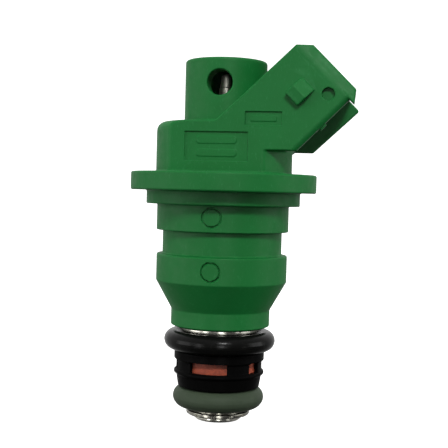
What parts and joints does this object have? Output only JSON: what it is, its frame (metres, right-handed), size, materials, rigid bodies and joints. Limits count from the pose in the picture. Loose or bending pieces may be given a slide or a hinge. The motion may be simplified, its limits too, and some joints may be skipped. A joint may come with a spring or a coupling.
{
  "type": "fuel injector",
  "caption": "Bottom-feed fuel injector with a green moulded body, round mounting flange, angled plug socket, stepped lands, filter cage between two O-rings and steel tip.",
  "frame": {"origin": "on the injector's axis at the underside of the mounting flange", "axes": "+Z along the axis from the spray tip towards the top stub, +X towards the side that the plug socket leans to, -Y towards the flat face with the blank label panel"},
  "size_m": [0.038, 0.0314, 0.0622],
  "materials": {
    "green_nylon": "satin moulded glass-filled nylon",
    "tinned_terminal": "tinned sheet brass",
    "core_steel": "turned steel",
    "body_steel": "ground stainless steel",
    "ring_steel": "stamped steel",
    "ball_steel": "polished",
    "spring_wire": "drawn wire",
    "housing_steel": "deep-drawn, plated",
    "bronze": "turned",
    "bobbin_plastic": "moulded",
    "copper_wire": "enamelled wire",
    "inner_seal": "smooth rubber",
    "black_rubber": "smooth rubber with a faint sheen",
    "green_rubber": "satin fluorocarbon rubber",
    "cage_plastic": "moulded",
    "mesh_fabric": "woven filter screen"
  },
  "bodies": {
    "injector_body": {"overmould_body": "green_nylon", "terminal_front": "tinned_terminal", "terminal_rear": "tinned_terminal", "core_tube": "core_steel", "core_end_plug": "core_steel", "adjusting_sleeve": "core_steel", "preload_spring": "spring_wire", "armature_guide": "bronze", "nonmagnetic_shell": "body_steel", "coil_bobbin": "bobbin_plastic", "coil_winding": "copper_wire", "coil_housing": "housing_steel", "flux_washer": "housing_steel", "upper_bobbin_seal": "inner_seal", "lower_bobbin_seal": "inner_seal", "valve_body": "body_steel", "lift_spacer": "core_steel", "needle_guide": "core_steel", "valve_seat": "body_steel", "orifice_disc": "body_steel", "seat_retainer": "body_steel", "upper_o_ring": "black_rubber", "filter_cage": "cage_plastic", "filter_mesh": "mesh_fabric", "lower_o_ring": "green_rubber", "retaining_ring": "ring_steel"},
    "valve": {"armature": "core_steel", "needle": "body_steel", "valve_ball": "ball_steel"}
  },
  "joints": [
    {"name": "valve_lift", "type": "slide", "parent": "injector_body", "child": "valve", "axis": [0, 0, 1], "range_m": [0, 0.0001], "stiffness_N_per_m": 1800, "deforming": ["preload_spring"]}
  ]
}
